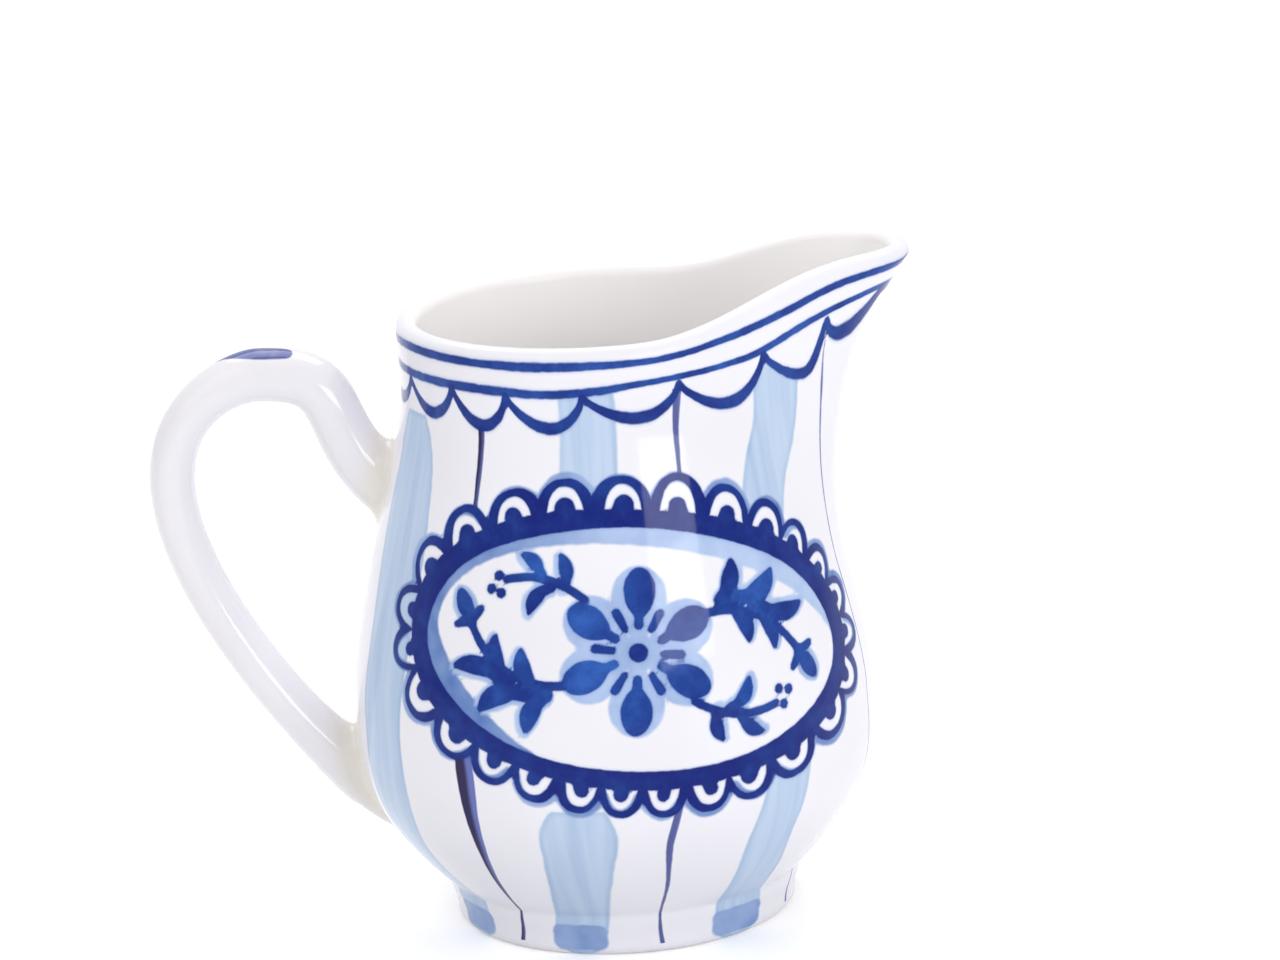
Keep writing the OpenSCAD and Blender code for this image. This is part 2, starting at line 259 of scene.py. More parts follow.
def new_piece(name, rows, material, closing=None):
    """A mesh from rows of points round a loop, closed to a point at each end, with a flat map of it."""
    if closing is None:
        closing = [rows[0].mean(axis=0), rows[-1].mean(axis=0)]
    count, columns = rows.shape[:2]
    points = np.vstack([rows.reshape(-1, 3), closing]) * MM
    row, column = np.meshgrid(np.arange(count - 1), np.arange(columns), indexing="ij")
    beside = (column + 1) % columns
    quads = np.stack([row * columns + column, row * columns + beside,
                      (row + 1) * columns + beside, (row + 1) * columns + column], axis=-1).reshape(-1, 4)
    ring = np.arange(columns)
    after = (ring + 1) % columns
    first, last = len(points) - 2, len(points) - 1
    start = np.stack([np.full(columns, first), after, ring], axis=-1)
    top = (count - 1) * columns
    end = np.stack([np.full(columns, last), top + ring, top + after], axis=-1)
    mesh = bpy.data.meshes.new(name)
    mesh.from_pydata(points.tolist(), [], quads.tolist() + start.tolist() + end.tolist())
    mesh.shade_smooth()
    lay_flat(mesh, rows, closing)
    mesh.materials.append(material)
    piece = bpy.data.objects.new(name, mesh)
    bpy.context.scene.collection.objects.link(piece)
    return piece


def lay_flat(mesh, rows, closing):
    """A map of the piece for baking: along the loop in one direction, along its rows in the other."""
    count, columns = rows.shape[:2]
    spans = np.linalg.norm(np.diff(rows, axis=0), axis=2).mean(axis=1)
    ends = [np.linalg.norm(rows[k] - closing[c], axis=1).mean() for k, c in ((0, 0), (count - 1, 1))]
    length = np.cumsum(np.concatenate([[ends[0]], spans]))
    down = length / (length[-1] + ends[1])
    row, column = np.meshgrid(np.arange(count - 1), np.arange(columns), indexing="ij")
    left, right = column / columns, (column + 1) / columns
    quads = np.stack([left, down[row], right, down[row], right, down[row + 1], left, down[row + 1]], axis=-1)
    side = np.arange(columns) / columns
    step = 1 / columns
    zero, one = np.zeros(columns), np.ones(columns)
    low, high = np.full(columns, down[0]), np.full(columns, down[-1])
    start = np.stack([side + step / 2, zero, side + step, low, side, low], axis=-1)
    end = np.stack([side + step / 2, one, side, high, side + step, high], axis=-1)
    layer = mesh.uv_layers.new(name="OFBake")
    corners = np.concatenate([quads.ravel(), start.ravel(), end.ravel()])
    layer.data.foreach_set("uv", corners.astype(np.float32))


def store(piece, name, values):
    """A number for each point of the mesh, read by the materials."""
    padded = np.zeros(len(piece.data.vertices), np.float32)
    padded[:len(values)] = values
    piece.data.attributes.new(name, "FLOAT", "POINT").data.foreach_set("value", padded)


# Painting: brush strokes are lines on the wall with a half width along them. Each mesh point keeps how deep
# it lies inside the nearest stroke of each colour, in millimetres, and the materials draw the edges from
# that. Fine lines keep instead how far aside the point lies, in half widths of the line, so they stay sharp.

BARE = -9.0
FAR = 60.0
ASIDE_LIMIT = 20.0
REACH = 3.5
PAIRS_AT_ONCE = 2_000_000


def nearest(points, path, half):
    """For each point, the distance to a line (FAR if it isn't near), the line's half width there and the
    place along it, counted in the line's points."""
    path = np.asarray(path, float)
    half = np.broadcast_to(np.asarray(half, float), len(path))
    distance = np.full(len(points), FAR)
    width = np.full(len(points), half.mean())
    place = np.zeros(len(points))
    margin = half.max() + REACH
    low, high = path.min(0) - margin, path.max(0) + margin
    near = np.flatnonzero(np.all((points > low) & (points < high), axis=1))
    start, along = path[:-1], np.diff(path, axis=0)
    squares = np.maximum((along ** 2).sum(1), TINY)
    for part in np.array_split(near, max(1, len(near) * len(along) // PAIRS_AT_ONCE)):
        if not len(part):
            continue
        offset = points[part][:, None] - start
        share = np.clip((offset * along).sum(2) / squares, 0, 1)
        gaps = np.linalg.norm(offset - share[..., None] * along, axis=2)
        halves = half[:-1] + share * np.diff(half)
        best = np.argmin(gaps - halves, axis=1)
        row = np.arange(len(part))
        distance[part] = gaps[row, best]
        width[part] = halves[row, best]
        place[part] = best + share[row, best]
    return distance, width, place


class Paint:
    """The strokes of one colour on a set of points."""

    def __init__(self, points):
        self.points = points
        self.depth = np.full(len(points), BARE)
        self.tone = np.zeros(len(points))

    def stroke(self, path, half, tone=0.5, limit=FAR):
        """A brush stroke along a path; half width and tone are one for all or one for each of its points."""
        distance, width, place = nearest(self.points, path, half)
        depth = np.where(distance < FAR, np.minimum(width - distance, limit), BARE)
        tones = np.broadcast_to(np.asarray(tone, float), len(path))
        deeper = depth > self.depth
        self.depth[deeper] = depth[deeper]
        self.tone[deeper] = np.interp(place[deeper], np.arange(len(path)), tones)


class Wall:
    """Places on the jug's outside, looked up on lines of the outline at close angles."""

    def __init__(self):
        self.lines = pulled(OUTSIDE, np.linspace(-180, 180, WALL_LINES))[::-1]
        self.runs = run_lengths(self.lines)

    def below_lip(self, turns, drops):
        """Points at angles and at runs below the lip's edge."""
        return self.look_up(turns, drops, self.runs)

    def at_height(self, turns, heights):
        """Points at angles and heights."""
        return self.look_up(turns, heights, self.lines[..., 2])

    def look_up(self, turns, wanted, measure):
        """Points at angles where a measure of the lines has the wanted values."""
        turns, wanted = np.broadcast_arrays(np.asarray(turns, float), np.asarray(wanted, float))
        points = np.empty((len(turns), 3))
        for row, (turn, value) in enumerate(zip(turns, wanted)):
            k = int(round((turn + 180) % 360 / 360 * (WALL_LINES - 1)))
            scale = measure[:, k]
            order = slice(None) if scale[-1] > scale[0] else slice(None, None, -1)
            line = self.lines[order, k]
            radius = np.interp(value, scale[order], np.hypot(line[:, 0], line[:, 1]))
            height = np.interp(value, scale[order], line[:, 2])
            points[row] = around(radius, turn, height)
        return points

WALL_MAP = Wall()


def smooth_interp(at, places, values):
    """Like interp, but easing between the places."""
    order = np.argsort(places)
    places, values = np.asarray(places, float)[order], np.asarray(values, float)[order]
    k = np.clip(np.searchsorted(places, at) - 1, 0, len(places) - 2)
    span = places[k + 1] - places[k]
    t = np.clip((at - places[k]) / span, 0, 1)
    slope = np.gradient(values, places)
    return ((2 * t ** 3 - 3 * t ** 2 + 1) * values[k] + (t ** 3 - 2 * t ** 2 + t) * span * slope[k]
            + (3 * t ** 2 - 2 * t ** 3) * values[k + 1] + (t ** 3 - t ** 2) * span * slope[k + 1])


# Rim lines: (angle, drop below the lip's edge, half width), the same on both sides
UPPER_LINE = (
    (0, 0.5, 0.75), (20, 1.1, 0.75), (30, 1.5, 0.76), (40, 1.3, 0.68), (52, 0.85, 0.56), (64, 0.65, 0.5),
    (76, 0.66, 0.52), (90, 0.64, 0.68), (105, 0.66, 0.78), (123, 0.5, 0.64), (138, 0.35, 0.7),
    (152, 0.25, 0.68), (180, 0.5, 0.62))
LOWER_LINE = (
    (0, 4.6, 0.58), (10, 4.5, 0.6), (18, 5.3, 0.66), (28, 5.7, 0.74), (38, 5.8, 0.62), (51, 4.8, 0.48),
    (64, 4.0, 0.48), (76, 3.95, 0.5), (87, 4.5, 0.66), (104, 4.9, 0.68), (117, 4.6, 0.76), (134, 4.4, 0.74),
    (150, 4.4, 0.68), (180, 4.2, 0.62))
# Scallops: (angle and drop of a cusp, drop of the bottom between it and the next one, lean towards the spout)
SCALLOPS = (
    (8.5, 5.0, 10.9, 0.95), (20.2, 6.9, 14.2, 0.4), (37.5, 6.4, 10.9, 0.68), (64.7, 4.9, 9.2, 0.8),
    (92.7, 5.3, 10.1, 0.8), (115.2, 5.2, 10.1, 0.8), (134.2, 4.7, 9.6, 0.8), (156, 5.2, 9.4, 0.9),
    (180, 5.0, None, None))
SCALLOP_HALVES = (0.5, 0.98)
SCALLOP_POINTS = 25
ARCH_POWER = 0.75
WIDTH_POWER = 1.3
# The strokes get wider towards the spout: (angles, how many times as wide)
SCALLOP_WIDER = ((8.5, 21), (2.1, 1.0))


def rim_line(line, turns, drops):
    """How far points lie below a rim line, in half widths of it."""
    angle, drop, half = np.array(line, float).T
    place = smooth_interp(np.abs(turns), angle, drop)
    return (drops - place) / np.interp(np.abs(turns), angle, half)


def scallop_line():
    """Angles, drops and half widths of the chain of scallops, from handle to spout and back."""
    t = np.linspace(0, 1, SCALLOP_POINTS)
    thin, thick = SCALLOP_HALVES
    arch = np.sin(np.pi * t) ** ARCH_POWER
    half = thin + (thick - thin) * np.sin(np.pi * t) ** WIDTH_POWER
    parts = []
    for (turn, drop, bottom, lean), (turn_after, drop_after, _, _) in zip(SCALLOPS, SCALLOPS[1:]):
        s = t ** (1 / lean)
        hung = drop + (drop_after - drop) * s
        middle = (drop + drop_after) / 2
        turns = turn + (turn_after - turn) * s
        part = np.stack([turns, hung + (bottom - middle) * arch, half * np.interp(turns, *SCALLOP_WIDER)])
        parts.append(part[:, :-1])
    side = np.hstack(parts + [part[:, -1:]])
    mirrored = side[:, ::-1] * [[-1], [1], [1]]
    return np.hstack([mirrored, side])


def scallop_aside(points, turns, drops):
    """How far points lie above the chain of scallops, in half widths of its stroke."""
    angle, drop, half = scallop_line()
    distance, width, _ = nearest(points, WALL_MAP.below_lip(angle, drop), half)
    above = drops < np.interp(turns, angle, drop)
    return np.where(above, 1, -1) * distance / width


# Stripes and thin lines as (height, angle, half width) from top to bottom; they mirror to the other side.
# A stripe starts at its own drop below the lip, or else at the scallops.
STRIPES = (
    (None, ((91, 32, 4.4), (80, 35.5, 4.4), (76, 39.5, 4.3), (45, 47, 4.3), (28, 49.4, 4.3), (24, 50.5, 4.4),
            (20, 52, 4.4), (12, 50.8, 4.5), (4, 49.6, 4.5))),
    (4.6, ((96, 92, 4.2), (83, 91.6, 4.3), (78, 92, 4.4), (66, 93, 4.6))),
    (68.2, ((27.6, 97, 2.0), (26.8, 97.2, 3.4), (25.4, 97.5, 4.9), (24, 97.9, 5.8), (19.6, 98.7, 5.5),
            (11, 101, 4.5), (4, 104, 4.1))),
    (10.4, ((84, 153.6, 1.2), (83.5, 153.5, 2.6), (82.6, 153.4, 3.7), (81, 153, 4.7), (78, 151.6, 5.4),
            (70, 151, 6.5), (50, 150, 6.3), (35, 151, 6.2), (25, 150, 6.0), (16, 151, 5.0), (10, 150, 4.5),
            (4, 148, 4.3))),
)
# Pads on the foot as (angle, half width)
PADS = ((49.6, 4.9), (104.4, 4.4), (148, 4.5))
PAD_HEIGHTS = (4.0, 2.5)
PAD_HALF = 1.5
PAD_TONE = 0.52
PAD_POINTS = 7
STROKE_POINTS = 40
LINES = (
    ((95, 19.5, 0), (86, 17.7, 0.2), (70, 18, 0.17), (56, 17.6, 0.16), (44, 16.8, 0.15), (24, 16, 0.13),
     (14, 17.4, 0.14), (6.2, 20, 0.18), (5.2, 20.4, 0.3), (1.2, 21.2, 0.4)),
    ((90, 65.3, 0.75), (86.4, 65.9, 0.6), (83.5, 66.5, 0.5), (80.4, 66.8, 0.4), (78.5, 67, 0.34),
     (65, 68, 0.3), (27.6, 75.9, 0.6), (24.6, 77, 0.64), (21.6, 77.9, 0.6), (17.8, 77.9, 0.45),
     (13.3, 77.6, 0.3), (7.9, 78.1, 0.22), (4.9, 78.1, 0.28), (1.6, 77.3, 0.4)),
    ((86, 124, 0.45), (84, 123.6, 0.58), (80, 123.5, 0.52), (75, 123.8, 0.44), (60, 124, 0.4),
     (34, 123.1, 1.6), (30.5, 122.7, 1.55), (25.7, 122.4, 1.2), (20.3, 122.3, 0.8), (14.1, 123.1, 0.45),
     (9.5, 123.7, 0.28), (6.2, 124.2, 0.25), (1.5, 126, 0.42)),
)
LINE_REACH = 4.0
FINEST_LINE = 0.05
LINE_TONES = (0.9, 0.6, 0.0)


def paint_stripes(stripes, pads, turns, drops):
    """The broad stripes, and the pads on the foot."""
    angle, drop, _ = scallop_line()
    scallops = np.interp(turns, angle, drop)
    for side in (-1, 1):
        for top, stripe in STRIPES:
            heights, angles, halves = np.array(stripe, float).T
            z = np.linspace(heights[0], heights[-1], STROKE_POINTS)
            path = WALL_MAP.at_height(side * smooth_interp(z, heights, angles), z)
            limit = drops - (scallops if top is None else top)
            stripes.stroke(path, smooth_interp(z, heights, halves), limit=limit)
        for turn, half in PADS:
            spread = math.degrees((half - PAD_HALF) / FOOT_RADIUS)
            angles = side * turn + np.linspace(-spread, spread, PAD_POINTS)
            for height in PAD_HEIGHTS:
                pads.stroke(WALL_MAP.at_height(angles, height), PAD_HALF, tone=PAD_TONE)


def thin_lines(points, turns):
    """For each point, the distance aside of the nearest thin line, and the line's half width and tone."""
    aside = np.full(len(points), FAR)
    half = np.full(len(points), BARE)
    tone = np.zeros(len(points))
    radius = np.hypot(points[:, 0], points[:, 1])
    for line, shade in zip(LINES, LINE_TONES):
        heights, angles, halves = np.array(line, float).T
        at = np.clip(points[:, 2], heights.min(), heights.max())
        width = np.interp(points[:, 2], heights[::-1], halves[::-1], left=BARE, right=BARE)
        for side in (-1, 1):
            gap = wrapped(turns - side * smooth_interp(at, heights, angles))
            offset = -side * np.radians(gap) * radius
            nearer = np.abs(offset) < np.abs(aside)
            aside[nearer] = offset[nearer]
            drawn = (width > FINEST_LINE) & (np.abs(offset) < LINE_REACH)
            half[nearer] = np.where(drawn, width, BARE)[nearer]
            tone[nearer] = shade
    return aside, half, tone


# The oval frame with its lace edge, and a spray of flowers inside it. Places are millimetres from its middle.
OVAL_TURN = 82.5
OVAL_HEIGHT = 52.1
OVAL_HALVES = (37.8, 19.4)
OVAL_TILT = 6.0
OVAL_RADIUS = 39.0
RING_HALVES = (1.45, 2.0)
# Lobes of the lace edge, from the handle's end over the top to the spout's end: their angles in the oval's
# formula, and how far they stand out from the ring's middle line
LOBE_PLACES = (
    0, 19, 37, 55.5, 70.5, 85.5, 101, 114.5, 128, 140.5, 154, 168.5, 182, 196, 212, 229.5, 242.5, 253.4, 263,
    272.2, 281.4, 291, 302.2, 314.5, 330, 347)
LOBE_HEIGHTS = (7.0, 6.4, 6.5, 6.0, 6.2, 6.2, 7.1, 6.7, 6.5, 6.0, 5.9, 6.1, 6.5, 6.5, 6.2, 6.0, 6.0, 6.0,
                6.0, 6.0, 6.0, 6.0, 6.1, 6.3, 6.6, 6.9)
LOBE_POWER = 2.3
LOBE_SPREAD = 1.1
LOBE_TOP = 1.2
LOBE_SIDE = 0.9
WHITE_HALVES = (1.7, 3.3)
STRIPED_FROM = 125.0
VALLEY_HEIGHT = 3.2
HEART_TOP = 3.6
HEART_HALF = 1.55
USUAL_LOBE = 6.3
HALO_HALF = 0.75
EDGE_SWING = (0.16, 0.84, 17)
RING_POINTS = 145
LACE_REACH = (-3, 14)
LINE_UNDER_LACE = 0.6


class Medallion:
    """Places on one side of the jug, from millimetres across and up from the oval's middle."""

    def __init__(self, side):
        self.side = side
        tilt = math.radians(OVAL_TILT)
        self.cos, self.sin = math.cos(tilt), math.sin(tilt)

    def wall(self, across, up):
        """Points on the wall, with across running from the spout towards the handle."""
        across, up = np.broadcast_arrays(np.asarray(across, float), np.asarray(up, float))
        flat = across * self.cos - up * self.sin
        height = across * self.sin + up * self.cos
        turn = OVAL_TURN + np.degrees(flat / OVAL_RADIUS)
        return WALL_MAP.at_height(self.side * turn, OVAL_HEIGHT + height)

    def flat(self, points, turns):
        """Places across and up of points on the wall."""
        flat = np.radians(wrapped(self.side * turns - OVAL_TURN)) * OVAL_RADIUS
        height = points[:, 2] - OVAL_HEIGHT
        return flat * self.cos + height * self.sin, -flat * self.sin + height * self.cos


def oval(theta):
    """Places on the ring's middle line."""
    return OVAL_HALVES[0] * np.cos(theta), OVAL_HALVES[1] * np.sin(theta)


def off_oval(theta, grow):
    """Places a distance straight out from the oval's middle line."""
    out = np.stack([np.cos(theta) / OVAL_HALVES[0], np.sin(theta) / OVAL_HALVES[1]])
    return np.stack(oval(theta)) + grow * out / np.linalg.norm(out, axis=0)


def arch_depth(across, up, half, height, power=2.0):
    """How deep places lie inside an ellipse, about in millimetres; more power makes it squarer."""
    x, y = np.abs(across) / half, np.abs(up) / height
    share = np.maximum((x ** power + y ** power) ** (1 / power), TINY)
    slope = np.hypot(x ** (power - 1) / half, y ** (power - 1) / height) * share ** (1 - power)
    return (1 - share) / np.maximum(slope, TINY)


def outside_ring(across, up):
    """How far places lie outside the ring's middle line."""
    return -arch_depth(across, up, *OVAL_HALVES)


def hand(k, size, pace, start=0.0):
    """A small change from one stroke to the next, as a hand makes it."""
    return size * math.sin(pace * k + start)

class Lobe:
    """One lobe of the lace edge: a broad arch on the ring, white within, and a heart in the white."""

    def __init__(self, k):
        places = np.radians(LOBE_PLACES)
        whole = 2 * np.pi
        before = places[k - 1] - (whole if k == 0 else 0)
        after = places[(k + 1) % len(places)] + (whole if k + 1 == len(places) else 0)
        middle = places[k]
        ends = off_oval(np.array([before + middle, middle + after]) / 2, VALLEY_HEIGHT)
        room = np.linalg.norm(ends[:, 1] - ends[:, 0]) / 2
        self.base, top = off_oval(np.full(2, middle), np.array([0.0, 1.0])).T
        self.out = top - self.base
        self.side = np.array([self.out[1], -self.out[0]])
        self.half, self.height = LOBE_SPREAD * room, LOBE_HEIGHTS[k]
        self.white_half = np.clip(room - LOBE_SIDE, *WHITE_HALVES)
        self.white_height = self.height - LOBE_TOP
        self.lean = hand(k, 0.3, 2.3)
        self.heart = min(HEART_HALF, (0.48 + hand(k, 0.06, 1.7)) * self.white_half)

    def local(self, across, up):
        """Places aside and out from the lobe's base."""
        x, y = across - self.base[0], up - self.base[1]
        return x * self.side[0] + y * self.side[1], x * self.out[0] + y * self.out[1]

    def place(self, aside, out):
        """The way back: places across and up."""
        aside, out = np.broadcast_arrays(aside, out)
        return self.base[:, None] + self.side[:, None] * aside + self.out[:, None] * out

    def edge(self, grow, shift):
        """The lobe's outer edge from foot to foot, grown out and shifted aside."""
        swing = np.linspace(*EDGE_SWING) * np.pi
        return self.place((self.half + grow) * np.cos(swing) + shift, (self.height + grow) * np.sin(swing))


LOBES = [Lobe(k) for k in range(len(LOBE_PLACES))]

def paint_frame(place, cobalt, wash):
    """The ring, the hearts in the lobes, and the pale washes."""
    theta = np.radians(np.linspace(0, 360, RING_POINTS))
    thin, thick = RING_HALVES
    half = thin + (thick - thin) * np.cos(theta) ** 2
    cobalt.stroke(place.wall(*oval(theta)), half * (1 + 0.06 * np.sin(7 * theta)), tone=0.0)
    paint_inner_wash(place, wash)
    for k, lobe in enumerate(LOBES):
        top = HEART_TOP * min(1, lobe.height / USUAL_LOBE) - lobe.heart
        heart = lobe.place(np.linspace(0, 1.6 * lobe.lean, 6), np.linspace(0.6, top, 6))
        cobalt.stroke(place.wall(*heart), np.linspace(lobe.heart * 1.15, lobe.heart, 6), tone=0.1)
        halo = lobe.edge(grow=hand(k, 0.45, 1.9, 0.4) - 0.25, shift=hand(k, 0.35, 1.3))
        wash.stroke(place.wall(*halo), HALO_HALF, tone=0.62 + hand(k, 0.2, 4.1))

# Wash along the ring's inside: (angle in the oval's formula, width, tone)
INNER_WASH = (
    (-66, 0.0, 0.8), (-48, 2.5, 0.8), (-25, 3.4, 0.75), (0, 2.3, 0.75), (30, 1.5, 0.7), (55, 1.5, 0.6),
    (75, 1.9, 0.3), (100, 2.5, 0.1), (140, 3.0, 0.08), (165, 1.9, 0.08), (182, 0.0, 0.08))


def paint_inner_wash(place, wash):
    angle, width, tone = np.array(INNER_WASH, float).T
    theta = np.linspace(angle[0], angle[-1], 90)
    broad = np.maximum(smooth_interp(theta, angle, width), 0)
    half = (RING_HALVES[0] + broad) / 2
    middle = off_oval(np.radians(theta), -half)
    wash.stroke(place.wall(*middle), half + 0.25, np.interp(theta, angle, tone))


def lace_depths(across, up, outside):
    """How deep places lie inside the lobes, and inside the white within them."""
    broad = np.full(len(across), -FAR)
    white = np.full(len(across), -FAR)
    near = np.flatnonzero((outside > LACE_REACH[0]) & (outside < LACE_REACH[1]))
    for lobe in LOBES:
        aside, out = lobe.local(across[near], up[near])
        broad[near] = np.maximum(broad[near], arch_depth(aside, out, lobe.half, lobe.height, LOBE_POWER))
        inner = arch_depth(aside - lobe.lean, out, lobe.white_half, lobe.white_height, LOBE_POWER)
        white[near] = np.maximum(white[near], inner)
    return np.minimum(broad, outside + 0.6), np.minimum(white, outside - 0.8)


LEAF_POINTS = 16
FINEST_HALF = 0.45

def bent(start, end, bow):
    """A line between two places that bows to its left by a share of its length."""
    start, end = np.asarray(start, float), np.asarray(end, float)
    along = end - start
    t = np.linspace(0, 1, LEAF_POINTS)[:, None]
    left = np.array([-along[1], along[0]])
    return start + along * t + left * bow * 4 * t * (1 - t)

def leaf_halves(half, fullest=0.5, start=0.7, end=0.9):
    """Half widths of a leaf-shaped stroke: narrower at its start, full, and thin at its tip."""
    t = np.linspace(0, end, LEAF_POINTS)
    power = math.log(0.5) / math.log(fullest)
    halves = half * np.maximum(np.sin(np.pi * t ** power), np.where(t < fullest, start, 0))
    return np.maximum(halves, FINEST_HALF)

# The flower in the oval's middle; its parts are shares of its radius: (start, end, half width)
FLOWER_PETALS = 6
FLOWER_RADIUS = 11.8
PALE_PETAL = (0.3, 0.86, 0.36)
PETAL = (0.34, 0.97, 0.21)
RAY = (0.33, 0.56)
RAY_HALVES = (0.6, 0.75)
# A dot is a very short line
DOT = 0.05
# The spray on one half: lines are (start, end, bow), leaves also have a half width. The other half is turned
# round.
SPRAY_STEM = ((9.8, -5.4), (27.0, 1.0), -0.16)
SPRAY_TWIG = ((8.6, 7.2), (22.0, 8.6), 0.12)
SPRAY_LEAVES = (
    ((13.4, -7.3), (16.0, -13.0), 0.12, 1.55),
    ((16.5, -7.6), (23.6, -11.0), 0.16, 1.7),
    ((20.5, -6.2), (29.0, -5.6), 0.14, 1.5),
    ((14.4, -7.0), (18.0, -1.2), -0.16, 1.5),
    ((19.2, -6.0), (22.6, 0.2), -0.16, 1.4),
    ((12.0, 8.9), (13.0, 13.2), 0.12, 1.15),
    ((15.8, 9.6), (19.6, 12.6), 0.14, 1.15),
    ((14.2, 8.5), (17.4, 4.4), 0.16, 1.2),
)
SPRAY_BUD = ((26.6, 0.6), (30.3, 5.4))
BUD_HALF = 1.5
SEPALS = (-2.6, 2.6)
SPRAY_BERRIES = ((23.4, 8.9), (24.4, 6.8), (22.6, 6.5))
BERRY_HALF = 0.85


def polar(radius, angle):
    return radius * np.array([math.cos(angle), math.sin(angle)])

def paint_flower(put):
    """A flower with broad petals on paler ones, short rays between them and a round heart."""
    for k in range(FLOWER_PETALS):
        a = math.pi / 2 + 2 * math.pi / FLOWER_PETALS * k + hand(k, 0.05, 2.1)
        start, end, half = FLOWER_RADIUS * np.array(PALE_PETAL)
        put("wash", bent(polar(start, a), polar(end, a), 0), leaf_halves(half, fullest=0.6, start=0.4), 0.2)
        start, end, half = FLOWER_RADIUS * np.array(PETAL)
        petal = bent(polar(start, a), polar(end, a), hand(k, 0.03, 3))
        put("cobalt", petal, leaf_halves(half, fullest=0.6, start=0.3), 0.7 + hand(k, 0.4, 1.3))
        between = a + math.pi / FLOWER_PETALS
        ray = np.stack([polar(FLOWER_RADIUS * share, between) for share in RAY])
        put("cobalt", ray, np.array(RAY_HALVES), 0.4)
    heart = np.array([(0, 0), (DOT, DOT)])
    for layer, share, tone in (("wash", 0.24, 0.25), ("cobalt", 0.125, 0.2)):
        put(layer, heart, FLOWER_RADIUS * share, tone)

def paint_bud(put):
    """A closed flower: a drop with a short leaf on each side of its foot."""
    low, high = (np.array(p, float) for p in SPRAY_BUD)
    way = (high - low) / np.linalg.norm(high - low)
    side = np.array([-way[1], way[0]])
    put("wash", bent(low, high, 0), leaf_halves(2.3, fullest=0.55, start=0.3), 0.25)
    put("cobalt", bent(low + way, high, 0), leaf_halves(BUD_HALF), 0.45)
    for lean in SEPALS:
        sepal = bent(low, low + side * lean + way * 1.9, -0.06 * lean)
        put("cobalt", sepal, leaf_halves(0.75, end=0.7), 0.45)

def brush(place, layers, turn):
    """A way to paint lines given on the oval, turned round for the other half."""
    def put(layer, line, half, tone):
        layers[layer].stroke(place.wall(*(turn * np.asarray(line, float)).T), half, tone)
    return put

def paint_spray(place, cobalt, wash):
    """A flower with a leafy stem, a bud, a twig and berries on each side."""
    layers = {"cobalt": cobalt, "wash": wash}
    for turn in (1, -1):
        put = brush(place, layers, turn)
        for stem, half in ((SPRAY_STEM, 0.7), (SPRAY_TWIG, 0.68)):
            put("cobalt", bent(*stem), half, 0.5)
        for k, (start, end, bow, half) in enumerate(SPRAY_LEAVES):
            line = bent(start, end, bow)
            put("cobalt", line, leaf_halves(half), 0.6 + hand(k, 0.4, 2.3, turn))
            put("wash", line + np.array([0.3, -0.3]), leaf_halves(half) + 0.45, 0.15)
        paint_bud(put)
        for berry in SPRAY_BERRIES:
            put("cobalt", np.array([berry, berry]) + [(0, 0), (DOT, 0)], BERRY_HALF, 0.4)
    paint_flower(put)

def paint_vessel(points, turns, drops):
    """All strokes on the pot's outside, as named numbers for each point."""
    cobalt, wash, stripes = Paint(points), Paint(points), Paint(points)
    paint_stripes(stripes, wash, turns, drops)
    aside, half, line_tone = thin_lines(points, turns)
    lobes = np.full(len(points), -FAR)
    white = np.full(len(points), -FAR)
    for side in (-1, 1):
        place = Medallion(side)
        across, up = place.flat(points, turns)
        outside = outside_ring(across, up)
        stripes.depth = np.minimum(stripes.depth, outside)
        broad, inner = lace_depths(across, up, outside)
        lobes, white = np.maximum(lobes, broad), np.maximum(white, inner)
        half = np.where((outside > 0) & (broad < LINE_UNDER_LACE), half, BARE)
        clear = np.abs(turns) < STRIPED_FROM
        stripes.depth[clear] = np.minimum(stripes.depth, -inner)[clear]
        paint_frame(place, cobalt, wash)
        paint_spray(place, cobalt, wash)
    signed = {
        "upper_line": rim_line(UPPER_LINE, turns, drops), "lower_line": rim_line(LOWER_LINE, turns, drops),
        "scallop": scallop_aside(points, turns, drops), "lobes": lobes, "lobe_white": white,
    }
    strokes = {name: np.clip(values, -ASIDE_LIMIT, ASIDE_LIMIT) for name, values in signed.items()}
    strokes.update({
        "cobalt": cobalt.depth, "cobalt_tone": cobalt.tone, "wash": wash.depth, "wash_tone": wash.tone,
        "stripe": stripes.depth, "line_aside": aside, "line_half": half, "line_tone": line_tone,
    })
    return strokes


# Materials

def srgb(red, green, blue):
    """A colour as it looks on a screen, in 0 to 255, made linear."""
    def linear(value):
        value /= 255
        return value / 12.92 if value <= 0.04045 else ((value + 0.055) / 1.055) ** 2.4
    return (linear(red), linear(green), linear(blue), 1.0)


GLAZE = srgb(241, 240, 247)
GLAZE_SHADE = srgb(237, 236, 243)
# The inside's glaze is a lighter copy of the white glaze: painted light where the inside gets less light
GLAZE_INSIDE_LIT = srgb(254, 251, 251)
GLAZE_POOLED = srgb(232, 226, 212)
# The handle's glaze and its mottle are painted a little darker than the pot's: painted shade, as the handle
# stands free in the light; the slip fillets take them too
HANDLE_GLAZE_SHADED = srgb(237, 235, 240)
HANDLE_MOTTLE_SHADED = srgb(233, 231, 236)
BISQUE = srgb(226, 213, 194)
STRIPE_PALE = srgb(196, 213, 237)
STRIPE_DEEP = srgb(160, 187, 220)
WASH_PALE = srgb(184, 204, 238)
WASH_DEEP = srgb(73, 113, 183)
BLEED = srgb(194, 215, 246)
COBALT_DARK = srgb(0, 26, 118)
COBALT_MID = srgb(44, 94, 182)
LINE_DARK = srgb(44, 38, 82)
LINE_BLUE = srgb(106, 116, 184)
MARK_DEEP = srgb(72, 86, 158)
MARK_PALE = srgb(112, 118, 162)


